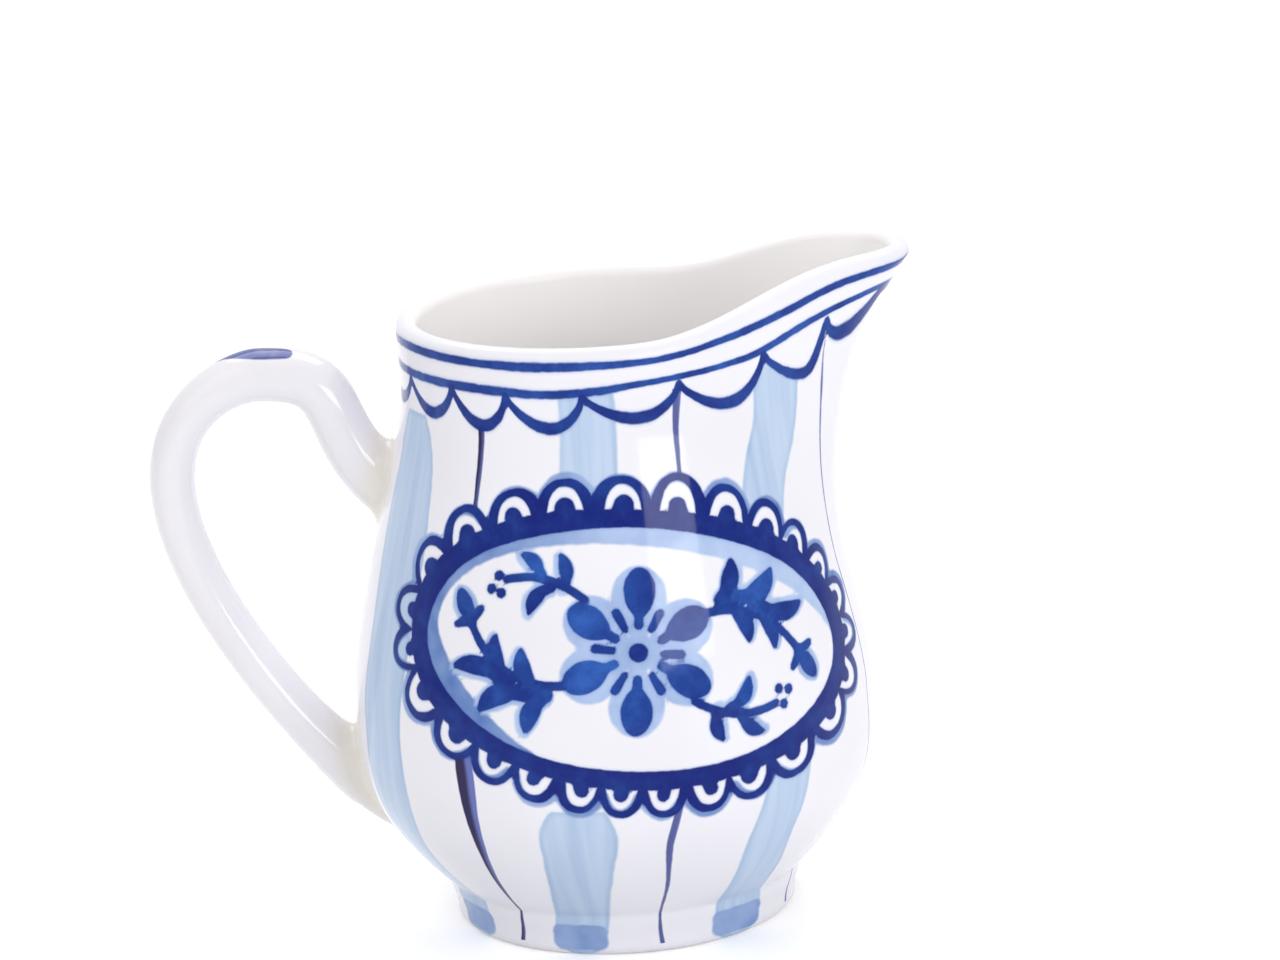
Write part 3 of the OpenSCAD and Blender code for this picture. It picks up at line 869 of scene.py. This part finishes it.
class Graph:
    """Short ways to add nodes to a material."""

    def __init__(self, name):
        self.material = bpy.data.materials.new(name)
        self.material.use_nodes = True
        self.tree = self.material.node_tree
        self.shader = self.tree.nodes["Principled BSDF"]
        self.object = self.node("ShaderNodeTexCoord").outputs["Object"]

    def node(self, kind, **settings):
        node = self.tree.nodes.new(kind)
        for key, value in settings.items():
            setattr(node, key, value)
        return node

    def put(self, socket, value):
        if isinstance(value, bpy.types.NodeSocket):
            self.tree.links.new(value, socket)
        else:
            socket.default_value = value

    def math(self, operation, a, b=0.0):
        node = self.node("ShaderNodeMath", operation=operation)
        self.put(node.inputs[0], a)
        self.put(node.inputs[1], b)
        return node.outputs[0]

    def add(self, a, b):
        return self.math("ADD", a, b)

    def times(self, a, b):
        return self.math("MULTIPLY", a, b)

    def attribute(self, name):
        return self.node("ShaderNodeAttribute", attribute_name=name).outputs["Fac"]

    def step(self, value, low, high, to_low=0.0, to_high=1.0):
        """A smooth step from one value to another."""
        node = self.node("ShaderNodeMapRange", interpolation_type="SMOOTHSTEP")
        for socket, number in zip(("Value", "From Min", "From Max", "To Min", "To Max"),
                                  (value, low, high, to_low, to_high)):
            self.put(node.inputs[socket], number)
        return node.outputs["Result"]

    def noise(self, size, detail=2.0, vector=None, rough=0.5):
        """Noise about 0.5, with lumps of a size in millimetres."""
        node = self.node("ShaderNodeTexNoise")
        self.put(node.inputs["Vector"], vector or self.object)
        node.inputs["Scale"].default_value = 1 / (size * MM) if vector is None else 1 / size
        node.inputs["Detail"].default_value = detail
        node.inputs["Roughness"].default_value = rough
        return node.outputs["Fac"]

    def vector(self, x, y):
        node = self.node("ShaderNodeCombineXYZ")
        self.put(node.inputs[0], x)
        self.put(node.inputs[1], y)
        return node.outputs[0]

    def mix(self, share, a, b, blend="MIX"):
        node = self.node("ShaderNodeMix", data_type="RGBA", blend_type=blend)
        self.put(node.inputs[0], share)
        self.put(node.inputs[6], a)
        self.put(node.inputs[7], b)
        return node.outputs[2]

    def finish_gloss(self, colour, specular):
        """A glassy glaze with a slight ripple over the colour."""
        self.put(self.shader.inputs["Base Color"], colour)
        self.shader.inputs["IOR"].default_value = GLAZE_IOR
        self.shader.inputs["Specular IOR Level"].default_value = specular
        self.shader.inputs["Roughness"].default_value = GLAZE_ROUGHNESS
        size, strength, height = RIPPLE
        bump = self.node("ShaderNodeBump")
        bump.inputs["Strength"].default_value = strength
        bump.inputs["Distance"].default_value = height * MM
        self.put(bump.inputs["Height"], self.noise(size, detail=3.0))
        self.put(self.shader.inputs["Normal"], bump.outputs[0])
        return self.material

GLAZE_IOR = 1.5
GLAZE_ROUGHNESS = 0.07
BISQUE_ROUGHNESS = 0.7
# The glaze's ripple: (size, strength, height)
RIPPLE = (9.0, 0.06, 0.4)
GLAZE_SPECULAR = 0.18
HANDLE_SPECULAR = 0.38


def glaze_tint(g, light, shade):
    """The white glaze, a little uneven."""
    return g.mix(g.step(g.noise(26.0), 0.35, 0.75), light, shade)


# Edges of strokes: (size of the hand's unevenness, how much of it, softness)
COBALT_EDGE = (1.6, 0.3, 0.17)
STRIPE_EDGE = (4.0, 0.5, 0.28)
WASH_EDGE = (2.0, 0.5, 0.3)
LINE_EDGE = (2.5, 0.2, 0.14)
MARK_EDGE = (2.0, 0.3, 0.2)

def brushed(g, under, colour, depth, edge):
    """A colour over what lies under it, with a hand's uneven and soft edge."""
    size, waver, soft = edge
    uneven = g.times(g.math("SUBTRACT", g.noise(size, detail=3.0), 0.5), waver)
    return g.mix(g.step(g.add(depth, uneven), -soft, soft), under, colour)

# Cobalt: (reach, strength) of its bleed, and how much its tone and its blots lighten it
COBALT_BLEED = (0.55, 0.36)
TONE_LIGHTENS = 0.34
BLOTS_LIGHTEN = (0.26, 0.45)

def cobalt_layer(g, under, depth, tone):
    """Dark cobalt strokes, lighter where the brush was wet, with a faint bleed round them."""
    reach, strength = COBALT_BLEED
    under = g.mix(g.times(g.step(depth, -reach, 0.0), strength), under, BLEED, "MULTIPLY")
    blots = g.step(g.noise(7.0, detail=5.0, rough=0.65), 0.35, 0.75)
    always, wet = BLOTS_LIGHTEN
    blotted = g.times(blots, g.add(always, g.times(tone, wet)))
    watery = g.add(g.step(depth, 0.5, 2.6, 0.0, 0.08), g.times(tone, TONE_LIGHTENS))
    colour = g.mix(g.add(watery, blotted), COBALT_DARK, COBALT_MID)
    return brushed(g, under, colour, depth, COBALT_EDGE)

# Rim strokes: (name, usual half width, tone)
RIM_LAYERS = (("upper_line", 0.62, 0.75), ("lower_line", 0.6, 0.75), ("scallop", 0.8, 0.3))

def rim_layer(g, under):
    """The rim lines and scallops, kept as distances aside in half widths."""
    for name, half, tone in RIM_LAYERS:
        aside = g.math("ABSOLUTE", g.attribute(name))
        depth = g.times(g.math("SUBTRACT", 1.0, aside), half)
        under = cobalt_layer(g, under, depth, tone)
    return under

def frame_layer(g, under):
    """The ring, the lobes without their white, and the spray."""
    lace = g.math("MINIMUM", g.attribute("lobes"), g.times(g.attribute("lobe_white"), -1.0))
    depth = g.math("MAXIMUM", g.attribute("cobalt"), lace)
    return cobalt_layer(g, under, depth, g.attribute("cobalt_tone"))

STREAK_WIDTH = 2.2
STREAK_LENGTH = 30.0

def stripe_layer(g, under):
    """Pale broad stripes with soft streaks of the brush, and a darker edge."""
    stripe = g.attribute("stripe")
    across = g.math("DIVIDE", g.attribute("across"), STREAK_WIDTH)
    along = g.math("DIVIDE", g.attribute("height"), STREAK_LENGTH)
    streaks = g.step(g.noise(1.0, vector=g.vector(across, along)), 0.25, 0.8)
    edge = g.step(stripe, 1.1, 0.2, 0.0, 0.4)
    colour = g.mix(g.add(g.times(streaks, 0.6), edge), STRIPE_PALE, STRIPE_DEEP)
    return brushed(g, under, colour, stripe, STRIPE_EDGE)

def wash_layer(g, under):
    """Watery blue: the halo and crescents of the frame and the pads on the foot."""
    tone = g.add(g.attribute("wash_tone"), g.step(g.noise(5.0), 0.3, 0.8, -0.12, 0.16))
    colour = g.mix(tone, WASH_PALE, WASH_DEEP)
    return brushed(g, under, colour, g.attribute("wash"), WASH_EDGE)

def line_layer(g, under):
    """Thin lines from rim to foot: nearly black on one side, blue on the other."""
    aside = g.attribute("line_aside")
    depth = g.math("SUBTRACT", g.attribute("line_half"), g.math("ABSOLUTE", aside))
    pale = g.step(g.add(aside, g.noise(14.0)), 0.2, 1.2)
    tint = g.mix(g.math("MAXIMUM", pale, g.attribute("line_tone")), LINE_DARK, LINE_BLUE)
    return brushed(g, under, tint, depth, LINE_EDGE)

def mark_layer(g, under):
    """A single watery brush mark."""
    colour = g.mix(g.step(g.noise(4.0), 0.35, 0.65), MARK_DEEP, MARK_PALE)
    return brushed(g, under, colour, g.attribute("mark"), MARK_EDGE)

def painted_glaze():
    g = Graph("painted_glaze")
    # Inside the pot the glaze turns into its lighter copy: painted light
    colour = g.mix(g.attribute("inside"), glaze_tint(g, GLAZE, GLAZE_SHADE), GLAZE_INSIDE_LIT)
    for layer in (stripe_layer, wash_layer, line_layer, rim_layer, frame_layer):
        colour = layer(g, colour)
    colour = g.mix(g.attribute("bare"), colour, BISQUE)
    g.finish_gloss(colour, GLAZE_SPECULAR)
    roughness = g.step(g.attribute("bare"), 0.0, 1.0, GLAZE_ROUGHNESS, BISQUE_ROUGHNESS)
    g.put(g.shader.inputs["Roughness"], roughness)
    return g.material


def handle_glaze():
    g = Graph("handle_glaze")
    # The handle's glaze, a darker copy of the pot's: painted shade
    colour = g.mix(g.attribute("pooled"), glaze_tint(g, HANDLE_GLAZE_SHADED, HANDLE_MOTTLE_SHADED), GLAZE_POOLED)
    return g.finish_gloss(mark_layer(g, colour), HANDLE_SPECULAR)


def slip_glaze():
    g = Graph("slip_glaze")
    patches = g.step(g.noise(3.0, detail=3.0), 0.3, 0.7, 0.7, 1.0)
    # The slip's plain glaze, the handle's darker copy: painted shade
    plain = glaze_tint(g, HANDLE_GLAZE_SHADED, HANDLE_MOTTLE_SHADED)
    colour = g.mix(g.times(g.attribute("pooled"), patches), plain, GLAZE_POOLED)
    return g.finish_gloss(colour, HANDLE_SPECULAR)


# Pieces

# The inside's glaze, painted lighter than the outside's as painted light, starts at a share of the lip's rows
# and blends in over some rows
INSIDE_START = 0.35
INSIDE_BLEND = 6
# The bare ring is what touches the table
STAND_TOUCH = 0.1
STAND_MARGIN = 0.5

def make_vessel():
    """The pot as one mesh: underside, outside, lip and inside, with its paint."""
    step = np.arange(COLUMNS) * 2 * np.pi / COLUMNS - np.pi
    turn = np.degrees(step - COLUMN_CROWDING * np.sin(step))
    underside = pulled(underside_outline()[1:-1], turn)
    outside = pulled(even(OUTSIDE, PAINT_ROW), turn)
    lip = lip_rows(turn)
    inside = pulled(even(inside_outline(), INSIDE_ROW)[:0:-1], turn, WALL)
    rows = np.concatenate([underside, outside, lip, inside])
    closing = [(0, 0, HOLLOW_DEPTH), (0, 0, FLOOR_HEIGHT)]
    piece = new_piece("painted_vessel", rows, painted_glaze(), closing)
    painted = np.concatenate([outside, lip])
    runs = run_lengths(painted)
    drops = runs[len(outside) - 1] - runs
    strokes = paint_vessel(painted.reshape(-1, 3), np.tile(turn, len(painted)), drops.ravel())
    for name, values in strokes.items():
        values = values.reshape(-1, COLUMNS)
        below = np.repeat(values[:1], len(underside), axis=0)
        above = np.repeat(values[-1:], len(inside), axis=0)
        store(piece, name, np.vstack([below, values, above]).ravel())
    store_places(piece, rows, turn, len(underside) + len(outside))
    return piece

def store_places(piece, rows, turn, lip_start):
    """Where the stripes' streaks run, where the inside starts and what the jug stands on."""
    points = rows.reshape(-1, 3)
    store(piece, "across", np.tile(np.radians(turn) * OVAL_RADIUS, len(rows)))
    store(piece, "height", points[:, 2])
    row = np.repeat(np.arange(len(rows)), COLUMNS)
    # Where the inside's lighter glaze, painted light, blends in
    store(piece, "inside", np.clip((row - lip_start - LIP_ROWS * INSIDE_START) / INSIDE_BLEND, 0, 1))
    radius = np.hypot(points[:, 0], points[:, 1])
    stands = (points[:, 2] < STAND_TOUCH) & (radius > STAND_INNER - STAND_MARGIN)
    store(piece, "bare", stands.astype(float))

def away(slope):
    return np.array([-math.cos(math.radians(slope)), math.sin(math.radians(slope))])


def handle_line(k):
    """Middle line of the handle as (x, z) by the CAD model's rows, from inside the wall and back into it."""
    k = np.asarray(k, float)
    upper = np.array([-wall_at(UPPER_ROOT_HEIGHT), UPPER_ROOT_HEIGHT])
    lower = np.array([-wall_at(LOWER_ROOT_HEIGHT), LOWER_ROOT_HEIGHT])
    side = np.array([-(BELLY_RADIUS + HANDLE_REACH - HANDLE_THICKNESS / 2), HANDLE_SIDE_HEIGHT])
    top = np.array([upper[0] + (side[0] - upper[0]) * HANDLE_PEAK, HANDLE_TOP_HEIGHT])
    upper_way, lower_way = (away(slope) for slope in ROOT_SLOPES)
    marks = np.cumsum([ROOT_ROWS, RISE_ROWS, BEND_ROWS, FALL_ROWS])
    rise = (upper, upper + RISE_PULLS[0] * np.linalg.norm(top - upper) * upper_way,
            top + (RISE_PULLS[1] * (upper[0] - top[0]), 0), top)
    bend = (top, top + (BEND_PULLS[0] * (side[0] - top[0]), 0),
            side + (0, BEND_PULLS[1] * (top[1] - side[1])), side)
    fall = (side, side - (0, FALL_PULLS[0] * (side[1] - lower[1])),
            lower + FALL_PULLS[1] * np.linalg.norm(side - lower) * lower_way, lower)
    line = upper - upper_way * (ROOT_DEPTH * (marks[0] - k) / ROOT_ROWS)[..., None]
    for first, count, points in zip(marks, (RISE_ROWS, BEND_ROWS, FALL_ROWS), (rise, bend, fall)):
        share = np.clip((k - first) / count, 0, 1)
        line = np.where(k[..., None] < first, line, curve(*points, share))
    end = lower - lower_way * (ROOT_DEPTH * (k - marks[3]) / ROOT_ROWS)[..., None]
    return np.where(k[..., None] < marks[3], line, end)

def half_thickness(k):
    share = k / ROW_LAST
    upper = END_SWELLS[0] * ease((UPPER_SWELL[0] - share) / UPPER_SWELL[1])
    lower = END_SWELLS[1] * np.clip((share - LOWER_SWELL[0]) / LOWER_SWELL[1], 0, 1) ** 2
    upper_flare = ROOT_FLARES[0] * np.clip(1 - (k - ROOT_ROWS) / FLARE_ROWS[0], 0, 1) ** 2
    lower_flare = ROOT_FLARES[1] * np.clip(1 - (ROW_LAST - ROOT_ROWS - k) / FLARE_ROWS[1], 0, 1) ** 2
    return HANDLE_THICKNESS / 2 * (1 + upper + lower + upper_flare + lower_flare)


def handle_arm(k, turn, thick, wide):
    """From the middle line to a point of the handle's section."""
    way = handle_line(np.minimum(k + 0.5, ROW_LAST)) - handle_line(np.maximum(k - 0.5, 0))
    way = way / np.linalg.norm(way, axis=-1, keepdims=True)
    angle = np.radians(turn)
    return np.stack([thick * np.cos(angle) * way[..., 1], wide * np.sin(angle) + 0 * k,
                     -thick * np.cos(angle) * way[..., 0]], axis=-1)


def handle_point(k, turn):
    k, turn = np.broadcast_arrays(np.asarray(k, float), np.asarray(turn, float))
    middle = handle_line(k)
    middle = np.stack([middle[..., 0], 0 * k, middle[..., 1]], axis=-1)
    return middle + handle_arm(k, turn, half_thickness(k), HANDLE_WIDTH / 2)


def stand_off(points):
    return np.hypot(points[..., 0], points[..., 1]) - wall_at(points[..., 2])


ROOT_SEARCH = 18
SEARCH_STEPS = 721

def leaving_row(turn, height, end):
    """Row where each long edge of the handle is a height off the wall, at the upper (0) or lower (1) end."""
    start, stop = (0, ROOT_SEARCH) if end == 0 else (ROW_LAST, ROW_LAST - ROOT_SEARCH)
    rows = np.linspace(start, stop, SEARCH_STEPS)
    gap = stand_off(handle_point(rows[:, None], turn[None, :]))
    first = np.maximum(np.argmax(gap >= height, axis=0), 1)
    columns = np.arange(len(turn))
    low, high = gap[first - 1, columns], gap[first, columns]
    share = np.clip((height - low) / np.maximum(high - low, TINY), 0, 1)
    return rows[first - 1] + share * (rows[first] - rows[first - 1])


SECTION_TURNS = np.arange(SECTION_POINTS) * 360 / SECTION_POINTS
SUNK = 1.2
# The mark on the handle's top: (row, angle round the section, half width), from its round head to its tail
MARK = ((18.5, -22, 1.45), (19.5, -22, 1.65), (20.8, -16, 1.6), (22.2, -5, 1.15), (23.6, 6, 0.4))
ROOT_TINT = (6.5, 0.85)


def make_handle():
    start = leaving_row(SECTION_TURNS, -SUNK, 0)
    end = leaving_row(SECTION_TURNS, -SUNK, 1)
    share = np.linspace(0, 1, HANDLE_ROWS)[:, None]
    k = start + (end - start) * share
    rows = handle_point(k, SECTION_TURNS[None, :])
    piece = new_piece("painted_handle", rows, handle_glaze())
    points = rows.reshape(-1, 3)
    mark = Paint(points)
    at, angles, halves = np.array(MARK).T
    fine = np.linspace(at[0], at[-1], 24)
    mark.stroke(handle_point(fine, smooth_interp(fine, at, angles)), smooth_interp(fine, at, halves))
    store(piece, "mark", mark.depth)
    store(piece, "pooled", root_tint(points))
    return piece


def root_tint(points):
    """How much cream-coloured glaze has pooled, fading with the distance from the wall."""
    return ROOT_TINT[1] * ease(1 - stand_off(points) / ROOT_TINT[0])


def onto_wall(points):
    """The same places, moved straight in or out onto the pot's outside."""
    turn = np.degrees(np.arctan2(points[:, 1], points[:, 0]))
    return around(wall_at(points[:, 2]), turn, points[:, 2])


def make_slip(name, end):
    """The fillet of slip and pooled glaze round one end of the handle, feathered out onto wall and handle."""
    root = ROOT_ROWS if end == 0 else ROW_LAST - ROOT_ROWS
    full = end * np.maximum(0, np.cos(np.radians(SECTION_TURNS)))[:, None] ** 4
    rise = SLIP_FILLET + ROOT_BULGE_RUN * full[:, 0]
    corner, upper, hidden = (handle_point(leaving_row(SECTION_TURNS, height, end), SECTION_TURNS)
                             for height in (0 * rise, rise, rise + SLIP_FEATHER))
    arm = handle_arm(np.full(SECTION_POINTS, float(root)), SECTION_TURNS, 1.0, 1.0)
    out = corner * (1, 1, 0)
    out /= np.linalg.norm(out, axis=1, keepdims=True)
    along = arm - (arm * out).sum(1, keepdims=True) * out
    along /= np.linalg.norm(along, axis=1, keepdims=True)
    spread = SLIP_FILLET * (1 - 0.85 * full ** 0.25)
    foot = onto_wall(corner + spread * along)
    sunk = onto_wall(corner + (spread + SLIP_FEATHER) * along) - SLIP_SUNK * out
    pull = corner + full * (ROOT_BULGE[0] * out + ROOT_BULGE[1] * arm)
    share = np.linspace(0, 1, FILLET_ROWS)[:, None, None]
    sweep = (1 - share) ** 2 * foot + 2 * share * (1 - share) * pull + share ** 2 * upper
    rows = np.concatenate([[corner - SUNK * out], [sunk], sweep, [hidden - SLIP_SUNK * arm]])
    if end == 1:
        rows = rows[::-1]
    piece = new_piece(name, rows, slip_glaze())
    ramp = np.repeat(ease(np.linspace(0.25, 1.7, len(rows))), SECTION_POINTS)
    store(piece, "pooled", root_tint(rows.reshape(-1, 3)) * (ramp if end == 0 else ramp[::-1]))
    return piece


def place_pieces():
    made = [
        (make_vessel(), "vessel", "glaze"),
        (make_handle(), "handle", "glaze"),
        (make_slip("upper_slip_fillet", 0), "upper_slip_joint", "slip"),
        (make_slip("lower_slip_fillet", 1), "lower_slip_joint", "slip"),
    ]
    for piece, node, slot in made:
        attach(piece, BODY)
        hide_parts(node)


# Stage

def make_camera():
    turn, rise, roll = (math.radians(a) for a in (CAMERA_TURN, CAMERA_RISE, CAMERA_ROLL))
    back = Vector((math.sin(turn) * math.cos(rise), -math.cos(turn) * math.cos(rise), math.sin(rise)))
    right = Vector((math.cos(turn), math.sin(turn), 0))
    up = back.cross(right)
    x = math.cos(roll) * right - math.sin(roll) * up
    y = math.sin(roll) * right + math.cos(roll) * up
    aim = CAMERA_ASIDE * right + Vector((0, 0, CAMERA_AIM_HEIGHT))
    place = (aim + CAMERA_DISTANCE * back) * MM
    data = bpy.data.cameras.new("camera")
    data.sensor_fit = "HORIZONTAL"
    data.sensor_width = SENSOR_WIDTH
    data.lens = FOCAL_PIXELS / IMAGE_WIDTH_PIXELS * SENSOR_WIDTH
    data.clip_start = 0.01
    camera = bpy.data.objects.new("camera", data)
    camera.matrix_world = Matrix.Translation(place) @ Matrix((x, y, back)).transposed().to_4x4()
    bpy.context.scene.collection.objects.link(camera)
    bpy.context.scene.camera = camera


FLOOR_SIZE = 6.0
FLOOR_GLOW = 0.3
WORLD_LIGHT = 0.5


def background_rays(tree):
    """1 for rays that show the background: from the camera, in gloss or through glass."""
    path = tree.nodes.new("ShaderNodeLightPath")
    seen = path.outputs["Is Camera Ray"]
    for ray in ("Is Glossy Ray", "Is Transmission Ray"):
        either = tree.nodes.new("ShaderNodeMath")
        either.operation = "MAXIMUM"
        tree.links.new(seen, either.inputs[0])
        tree.links.new(path.outputs[ray], either.inputs[1])
        seen = either.outputs[0]
    return seen


def make_floor():
    mesh = bpy.data.meshes.new("floor")
    s = FLOOR_SIZE
    mesh.from_pydata([(-s, -s, 0), (s, -s, 0), (s, s, 0), (-s, s, 0)], [], [(0, 1, 2, 3)])
    floor = bpy.data.objects.new("floor", mesh)
    g = Graph("floor_paper")
    g.shader.inputs["Base Color"].default_value = (0.9, 0.9, 0.9, 1)
    g.shader.inputs["Roughness"].default_value = 0.9
    glow = g.node("ShaderNodeEmission")
    glow.inputs["Color"].default_value = (1, 1, 1, 1)
    g.put(glow.inputs["Strength"], g.times(background_rays(g.tree), FLOOR_GLOW))
    both = g.node("ShaderNodeAddShader")
    g.put(both.inputs[0], g.shader.outputs[0])
    g.put(both.inputs[1], glow.outputs[0])
    g.put(g.tree.nodes["Material Output"].inputs["Surface"], both.outputs[0])
    mesh.materials.append(g.material)
    bpy.context.scene.collection.objects.link(floor)


def make_world():
    """White where it is seen directly, in gloss or through glass, and a softer light elsewhere."""
    world = bpy.data.worlds.new("studio")
    world.use_nodes = True
    tree = world.node_tree
    background = tree.nodes["Background"]
    background.inputs["Color"].default_value = (1, 1, 1, 1)
    level = tree.nodes.new("ShaderNodeMapRange")
    level.inputs["To Min"].default_value = WORLD_LIGHT
    level.inputs["To Max"].default_value = 1.0
    tree.links.new(background_rays(tree), level.inputs["Value"])
    tree.links.new(level.outputs["Result"], background.inputs["Strength"])
    bpy.context.scene.world = world


# Lamps: (name, turn from the camera, rise, distance, width, height, brightness of the face), in metres
LAMPS = (
    ("key", 35, 15, 1.0, 0.44, 0.3, 6.3),
    ("front", 0, 35, 1.3, 1.4, 0.8, 0.36),
    ("left", -60, 40, 1.2, 0.8, 0.8, 1.25),
    ("right", 60, 40, 1.2, 0.8, 0.8, 0.35),
    ("back", 180, 60, 1.3, 1.4, 0.8, 2.8),
)
LAMP_AIM = (0, 0, 0.055)

def softbox(name, turn, rise, distance, width, height, level):
    """A rectangular lamp that faces the jug; level is how bright its face is."""
    data = bpy.data.lights.new(name, "AREA")
    data.shape = "RECTANGLE"
    data.size, data.size_y = width, height
    data.energy = level * math.pi * width * height
    lamp = bpy.data.objects.new(name, data)
    a, e = math.radians(turn), math.radians(rise)
    way = Vector((math.sin(a) * math.cos(e), -math.cos(a) * math.cos(e), math.sin(e)))
    lamp.location = Vector(LAMP_AIM) + way * distance
    lamp.rotation_euler = way.to_track_quat("Z", "Y").to_euler()
    bpy.context.scene.collection.objects.link(lamp)

def make_lights():
    for lamp in LAMPS:
        softbox(*lamp)

def main():
    make_camera()
    place_pieces()
    make_floor()
    make_world()
    make_lights()
    bpy.context.scene.view_settings.view_transform = "Standard"


main()
